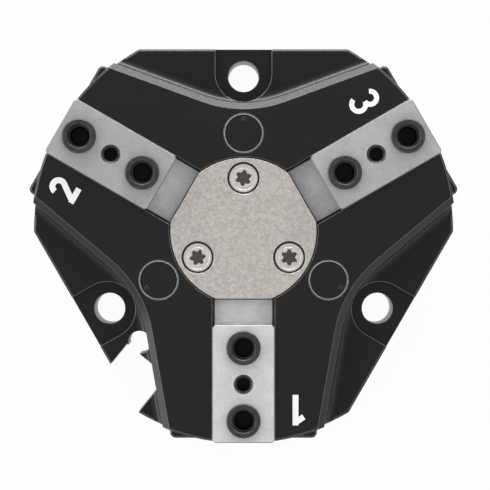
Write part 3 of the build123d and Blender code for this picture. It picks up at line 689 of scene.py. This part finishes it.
def stroke_outline(spots, half):
    """Outline of a line of some width with mitred corners and square ends."""
    left, right = [], []
    for index, spot in enumerate(spots):
        into = (spot - spots[index - 1]).normalized() if index else None
        out = (spots[index + 1] - spot).normalized() if index + 1 < len(spots) else into
        into = into or out
        middle = (into + out).normalized()
        across = Vector((-middle.y, middle.x, 0))
        reach = half / max(across.dot(Vector((-out.y, out.x, 0))), 0.5)
        left.append(spot + across * reach)
        right.append(spot - across * reach)
    return left + right[::-1]


class GRIPPER_OT_numbers(bpy.types.Operator):
    """Print a plain number beside each jaw"""

    bl_idname = "gripper.numbers"
    bl_label = "Jaw numbers"

    def execute(self, context):
        look = settings()
        paint = paint_material("white_print", look.mark_colour)
        for number, direction in JAW_DIRECTIONS.items():
            work = bmesh.new()
            for order, stroke in enumerate(figure_strokes(number)):
                spots = [Vector((x, y, 0)) * look.number_height for x, y in stroke]
                verts = [work.verts.new(spot) for spot in stroke_outline(spots, look.number_stroke * STROKE_SHARE[number] / 2)]
                face = work.faces.new(verts)
                grown = bmesh.ops.extrude_face_region(work, geom=[face])
                lift = [item for item in grown["geom"] if isinstance(item, bmesh.types.BMVert)]
                bmesh.ops.translate(work, verts=lift, vec=(0, 0, PAINT_T * (1 + 0.1 * order)))
            place = look.number_place + NUMBER_SHIFT[number]
            spot = at_direction(place, direction + look.number_turn * 180 / pi, TOP_LEVEL)
            turn = Matrix.Translation(spot) @ Matrix.Rotation(radians(direction) - pi / 2, 4, "Z")
            bmesh.ops.transform(work, matrix=turn, verts=work.verts)
            finish_mesh(work, f"number_{number}", paint, "housing")
        return {"FINISHED"}


class GRIPPER_OT_stage(bpy.types.Operator):
    """Set the pale floor, the soft lamps and the camera straight above the gripper"""

    bl_idname = "gripper.stage"
    bl_label = "Stage"

    def execute(self, context):
        scene = context.scene
        make_floor()
        make_world(scene)
        make_lamps(scene)
        make_camera(scene)
        scene.view_settings.view_transform = "Standard"
        return {"FINISHED"}


PAINT_T = 0.03 * MM
FLOOR_HALF = 4.0
CAMERA_HEIGHT = 2.026
CAMERA_LENS = 408.1
SENSOR = 36.0
SHIFT_X = 1.5 / 490
SHIFT_Y = -14.0 / 490


def backdrop_switch(nodes, links, mirrors=False):
    """Factor that is 1 for camera and glass rays, and for mirror rays where asked."""
    path = nodes.new("ShaderNodeLightPath")
    first = nodes.new("ShaderNodeMath")
    first.operation = "MAXIMUM"
    second = nodes.new("ShaderNodeMath")
    second.operation = "MAXIMUM"
    links.new(path.outputs["Is Camera Ray"], first.inputs[0])
    links.new(path.outputs["Is Transmission Ray"], first.inputs[1])
    links.new(first.outputs[0], second.inputs[0])
    if mirrors:
        links.new(path.outputs["Is Glossy Ray"], second.inputs[1])
    return second.outputs[0]


def make_floor():
    """Flat white floor: mostly its own white to the camera, with a trace of the object's shadow."""
    work = bmesh.new()
    bmesh.ops.create_grid(work, x_segments=1, y_segments=1, size=FLOOR_HALF,
                          matrix=Matrix.Translation((0, 0, -0.2 * MM)))
    mesh = bpy.data.meshes.new("floor")
    work.to_mesh(mesh)
    work.free()
    floor = bpy.data.objects.new("floor", mesh)
    bpy.context.scene.collection.objects.link(floor)
    material, nodes, links, shader = new_material("white_floor")
    shader.inputs["Base Color"].default_value = (0.9, 0.9, 0.9, 1)
    shader.inputs["Roughness"].default_value = 0.9
    shader.inputs["Specular IOR Level"].default_value = 0.1
    glow = nodes.new("ShaderNodeEmission")
    glow.inputs["Color"].default_value = (1, 1, 1, 1)
    glow.inputs["Strength"].default_value = 1.0
    blend = nodes.new("ShaderNodeMixShader")
    share = nodes.new("ShaderNodeMath")
    share.operation = "MULTIPLY"
    share.inputs[1].default_value = 0.96
    links.new(backdrop_switch(nodes, links, mirrors=True), share.inputs[0])
    links.new(share.outputs[0], blend.inputs["Fac"])
    links.new(shader.outputs["BSDF"], blend.inputs[1])
    links.new(glow.outputs["Emission"], blend.inputs[2])
    side = nodes.new("ShaderNodeNewGeometry")
    clear = nodes.new("ShaderNodeBsdfTransparent")
    either = nodes.new("ShaderNodeMixShader")
    links.new(side.outputs["Backfacing"], either.inputs["Fac"])
    links.new(blend.outputs["Shader"], either.inputs[1])
    links.new(clear.outputs["BSDF"], either.inputs[2])
    links.new(either.outputs["Shader"], nodes["Material Output"].inputs["Surface"])
    mesh.materials.append(material)


def make_world(scene):
    """Surround that is bright at the horizon and dark overhead, and white where the camera sees it."""
    world = bpy.data.worlds.new("studio")
    scene.world = world
    world.use_nodes = True
    nodes, links = world.node_tree.nodes, world.node_tree.links
    lit = nodes["Background"]
    way = nodes.new("ShaderNodeTexCoord")
    parts = nodes.new("ShaderNodeSeparateXYZ")
    links.new(way.outputs["Generated"], parts.inputs["Vector"])
    blend = nodes.new("ShaderNodeValToRGB")
    steps = blend.color_ramp.elements
    steps[0].position, steps[0].color = 0.0, (1.5, 1.5, 1.52, 1)
    steps[1].position, steps[1].color = 1.0, (0.24, 0.24, 0.245, 1)
    for position, level in ((0.30, 1.4), (0.62, 1.0), (0.86, 0.25)):
        step = steps.new(position)
        step.color = (level, level, level * 1.01, 1)
    links.new(parts.outputs["Z"], blend.inputs["Fac"])
    links.new(blend.outputs["Color"], lit.inputs["Color"])
    lit.inputs["Strength"].default_value = 1.0
    seen = nodes.new("ShaderNodeBackground")
    seen.inputs["Color"].default_value = (1, 1, 1, 1)
    choose = nodes.new("ShaderNodeMixShader")
    links.new(backdrop_switch(nodes, links), choose.inputs["Fac"])
    links.new(lit.outputs["Background"], choose.inputs[1])
    links.new(seen.outputs["Background"], choose.inputs[2])
    links.new(choose.outputs["Shader"], nodes["World Output"].inputs["Surface"])


def add_lamp(scene, name, spot, size, power, colour=(1, 1, 1)):
    """Rectangular soft lamp that faces the gripper."""
    data = bpy.data.lights.new(name, "AREA")
    data.shape = "RECTANGLE"
    data.size, data.size_y = size
    data.energy = power
    data.color = colour
    lamp = bpy.data.objects.new(name, data)
    scene.collection.objects.link(lamp)
    lamp.location = spot
    lamp.rotation_mode = "QUATERNION"
    aim = Vector((0, 0, 0.06)) - Vector(spot)
    lamp.rotation_quaternion = aim.to_track_quat("-Z", "Y")


def make_lamps(scene):
    """Long low lamp beyond the top edge of the picture and a weaker one on the left."""
    add_lamp(scene, "lamp_back", (0.0, 1.6, 0.28), (2.2, 0.45), 48.0)
    add_lamp(scene, "lamp_left", (-1.6, 0.2, 0.28), (1.4, 0.4), 13.0)


def make_camera(scene):
    """Long lens on the gripper's axis, with the picture's top towards +Y."""
    data = bpy.data.cameras.new("camera")
    data.lens = CAMERA_LENS
    data.sensor_width = SENSOR
    data.shift_x = SHIFT_X
    data.shift_y = SHIFT_Y
    data.clip_start, data.clip_end = 0.01, 20.0
    camera = bpy.data.objects.new("camera", data)
    scene.collection.objects.link(camera)
    camera.location = (0, 0, CAMERA_HEIGHT)
    scene.camera = camera


class GRIPPER_PT_finish(bpy.types.Panel):
    """Sidebar panel with the settings and one button for each step"""

    bl_label = "Gripper"
    bl_idname = "GRIPPER_PT_finish"
    bl_space_type = "VIEW_3D"
    bl_region_type = "UI"
    bl_category = "Gripper"

    def draw(self, context):
        look = context.scene.gripper_finish
        for setting in look.bl_rna.properties.keys():
            if setting not in ("rna_type", "name"):
                self.layout.prop(look, setting)
        for step in STEPS:
            self.layout.operator(step.bl_idname)


STEPS = (GRIPPER_OT_housing, GRIPPER_OT_jaws, GRIPPER_OT_sleeves, GRIPPER_OT_ports, GRIPPER_OT_plate,
         GRIPPER_OT_fasteners, GRIPPER_OT_mechanism, GRIPPER_OT_numbers, GRIPPER_OT_stage)
CLASSES = (FinishSettings, *STEPS, GRIPPER_PT_finish)


def register():
    for cls in CLASSES:
        bpy.utils.register_class(cls)
    bpy.types.Scene.gripper_finish = PointerProperty(type=FinishSettings)


def unregister():
    del bpy.types.Scene.gripper_finish
    for cls in reversed(CLASSES):
        bpy.utils.unregister_class(cls)


def main():
    register()
    for step in STEPS:
        group, action = step.bl_idname.split(".")
        getattr(getattr(bpy.ops, group), action)()


if __name__ == "__main__":
    main()
